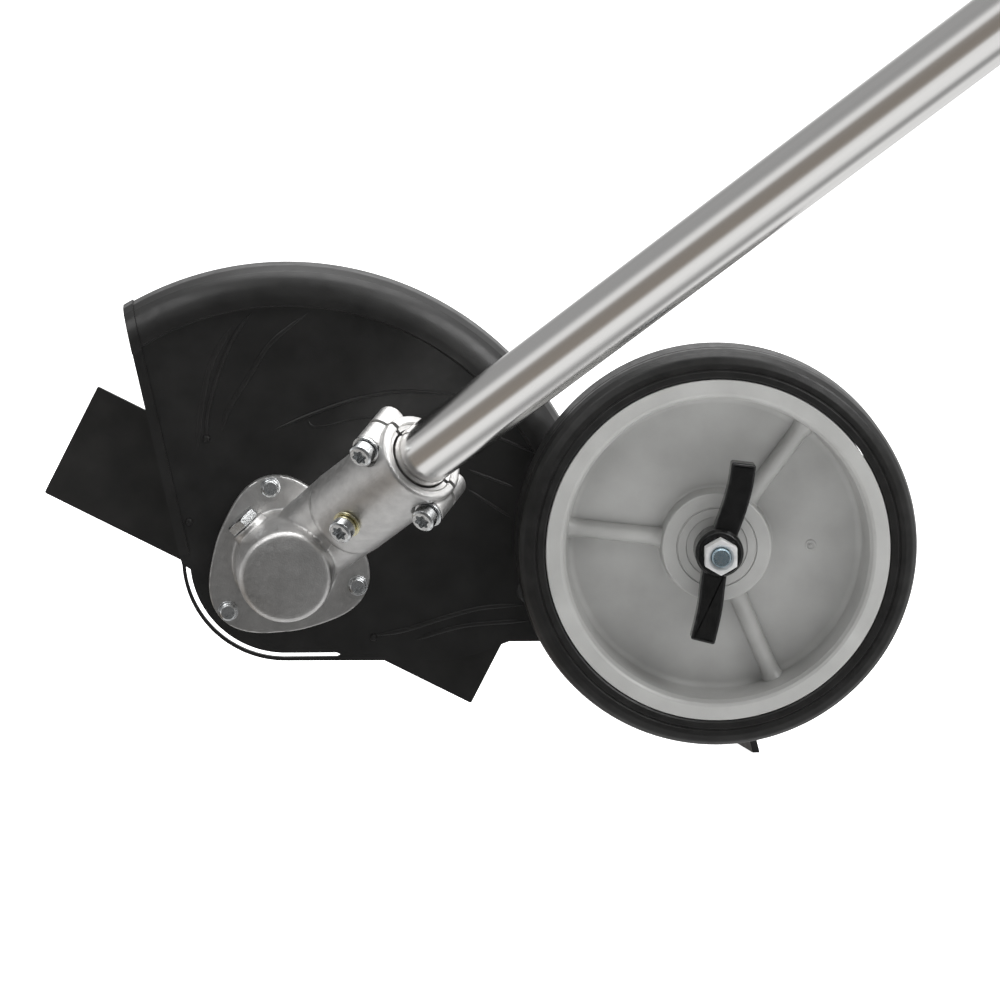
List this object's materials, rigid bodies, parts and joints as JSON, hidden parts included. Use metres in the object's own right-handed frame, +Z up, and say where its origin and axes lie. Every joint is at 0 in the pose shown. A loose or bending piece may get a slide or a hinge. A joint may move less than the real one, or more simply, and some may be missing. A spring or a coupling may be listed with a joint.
{
  "type": "lawn edger",
  "caption": "Lower end of a stick lawn edger: drive tube, bevel gearcase, guarded rotating rectangular blade and a height-adjustable depth wheel.",
  "frame": {"origin": "centre of the output shaft's free end face, on the arbor axis", "axes": "+Y along the arbor from the gearcase through the blade, +X from the arbor towards the depth wheel, +Z up; the drive tube rises to +X and +Z and leans towards -Y"},
  "size_m": [0.5239, 0.5374, 0.486],
  "materials": {
    "polished_aluminium": "polished, with lengthwise drawing lines",
    "cast_aluminium": "die cast, satin",
    "zinc_steel": "zinc plated",
    "machined_steel": "machined",
    "black_steel": "satin black",
    "black_plastic": "moulded, semi-gloss",
    "grey_plastic": "moulded, satin",
    "black_rubber": "moulded rubber",
    "seal_rubber": "smooth rubber",
    "bush_nylon": "machined nylon"
  },
  "bodies": {
    "gearcase_and_guard": {"drive_tube": "polished_aluminium", "gear_housing": "cast_aluminium", "grease_plug": "zinc_steel", "flange_screw_1": "zinc_steel", "flange_screw_2": "zinc_steel", "flange_screw_3": "zinc_steel", "clamp_washer_1": "zinc_steel", "clamp_washer_2": "zinc_steel", "clamp_screw_1": "zinc_steel", "clamp_screw_2": "zinc_steel", "locating_flat_washer": "zinc_steel", "locating_spring_washer": "zinc_steel", "locating_screw": "zinc_steel", "bracket_flange_nut_1": "zinc_steel", "bracket_flange_nut_2": "zinc_steel", "input_bearing_1": "machined_steel", "input_bearing_2": "machined_steel", "input_bearing_circlip": "machined_steel", "upper_output_bearing": "machined_steel", "lower_output_bearing": "machined_steel", "output_bearing_circlip": "machined_steel", "guard_backing_plate": "black_steel", "wheel_bracket": "black_steel", "bracket_bolt_1": "black_steel", "bracket_bolt_2": "black_steel", "guard_shell": "black_plastic", "output_seal": "seal_rubber", "shaft_bush_1": "bush_nylon", "shaft_bush_2": "bush_nylon", "shaft_bush_3": "bush_nylon"},
    "arbor": {"output_shaft": "machined_steel", "output_gear": "machined_steel", "blade_inner_flange": "machined_steel", "edger_blade": "black_steel", "blade_outer_flange": "zinc_steel", "blade_nut": "zinc_steel"},
    "input_shaft": {"drive_shaft": "machined_steel", "input_pinion": "machined_steel"},
    "axle_carriage": {"axle_bolt": "zinc_steel", "axle_inner_washer": "zinc_steel", "axle_spacer": "zinc_steel", "axle_sleeve": "zinc_steel", "axle_outer_washer": "zinc_steel", "lock_nut": "zinc_steel"},
    "wheel": {"wheel_rim": "grey_plastic", "tyre": "black_rubber"},
    "lever_nut": {"wing_nut": "black_plastic", "wing_nut_insert": "zinc_steel"}
  },
  "joints": [
    {"name": "arbor_spin", "type": "hinge", "parent": "gearcase_and_guard", "child": "arbor", "pos_m": [0, 0, 0], "axis": [0, 1, 0], "continuous": true},
    {"name": "drive_shaft_spin", "type": "hinge", "parent": "gearcase_and_guard", "child": "input_shaft", "pos_m": [0, -0.052, 0], "axis": [0.5557, -0.6428, 0.5273], "continuous": true},
    {"name": "wheel_height", "type": "slide", "parent": "gearcase_and_guard", "child": "axle_carriage", "axis": [0, 0, 1], "range_m": [-0.032, 0.028]},
    {"name": "wheel_spin", "type": "hinge", "parent": "axle_carriage", "child": "wheel", "pos_m": [0.178, 0, 0.012], "axis": [0, 1, 0], "continuous": true},
    {"name": "lever_nut_turn", "type": "hinge", "parent": "axle_carriage", "child": "lever_nut", "pos_m": [0.178, 0, 0.012], "axis": [0, 1, 0], "range_deg": [0, 540]}
  ],
  "couplings": [
    {"joint": "drive_shaft_spin", "follows": "arbor_spin", "ratio": 1.6154}
  ]
}
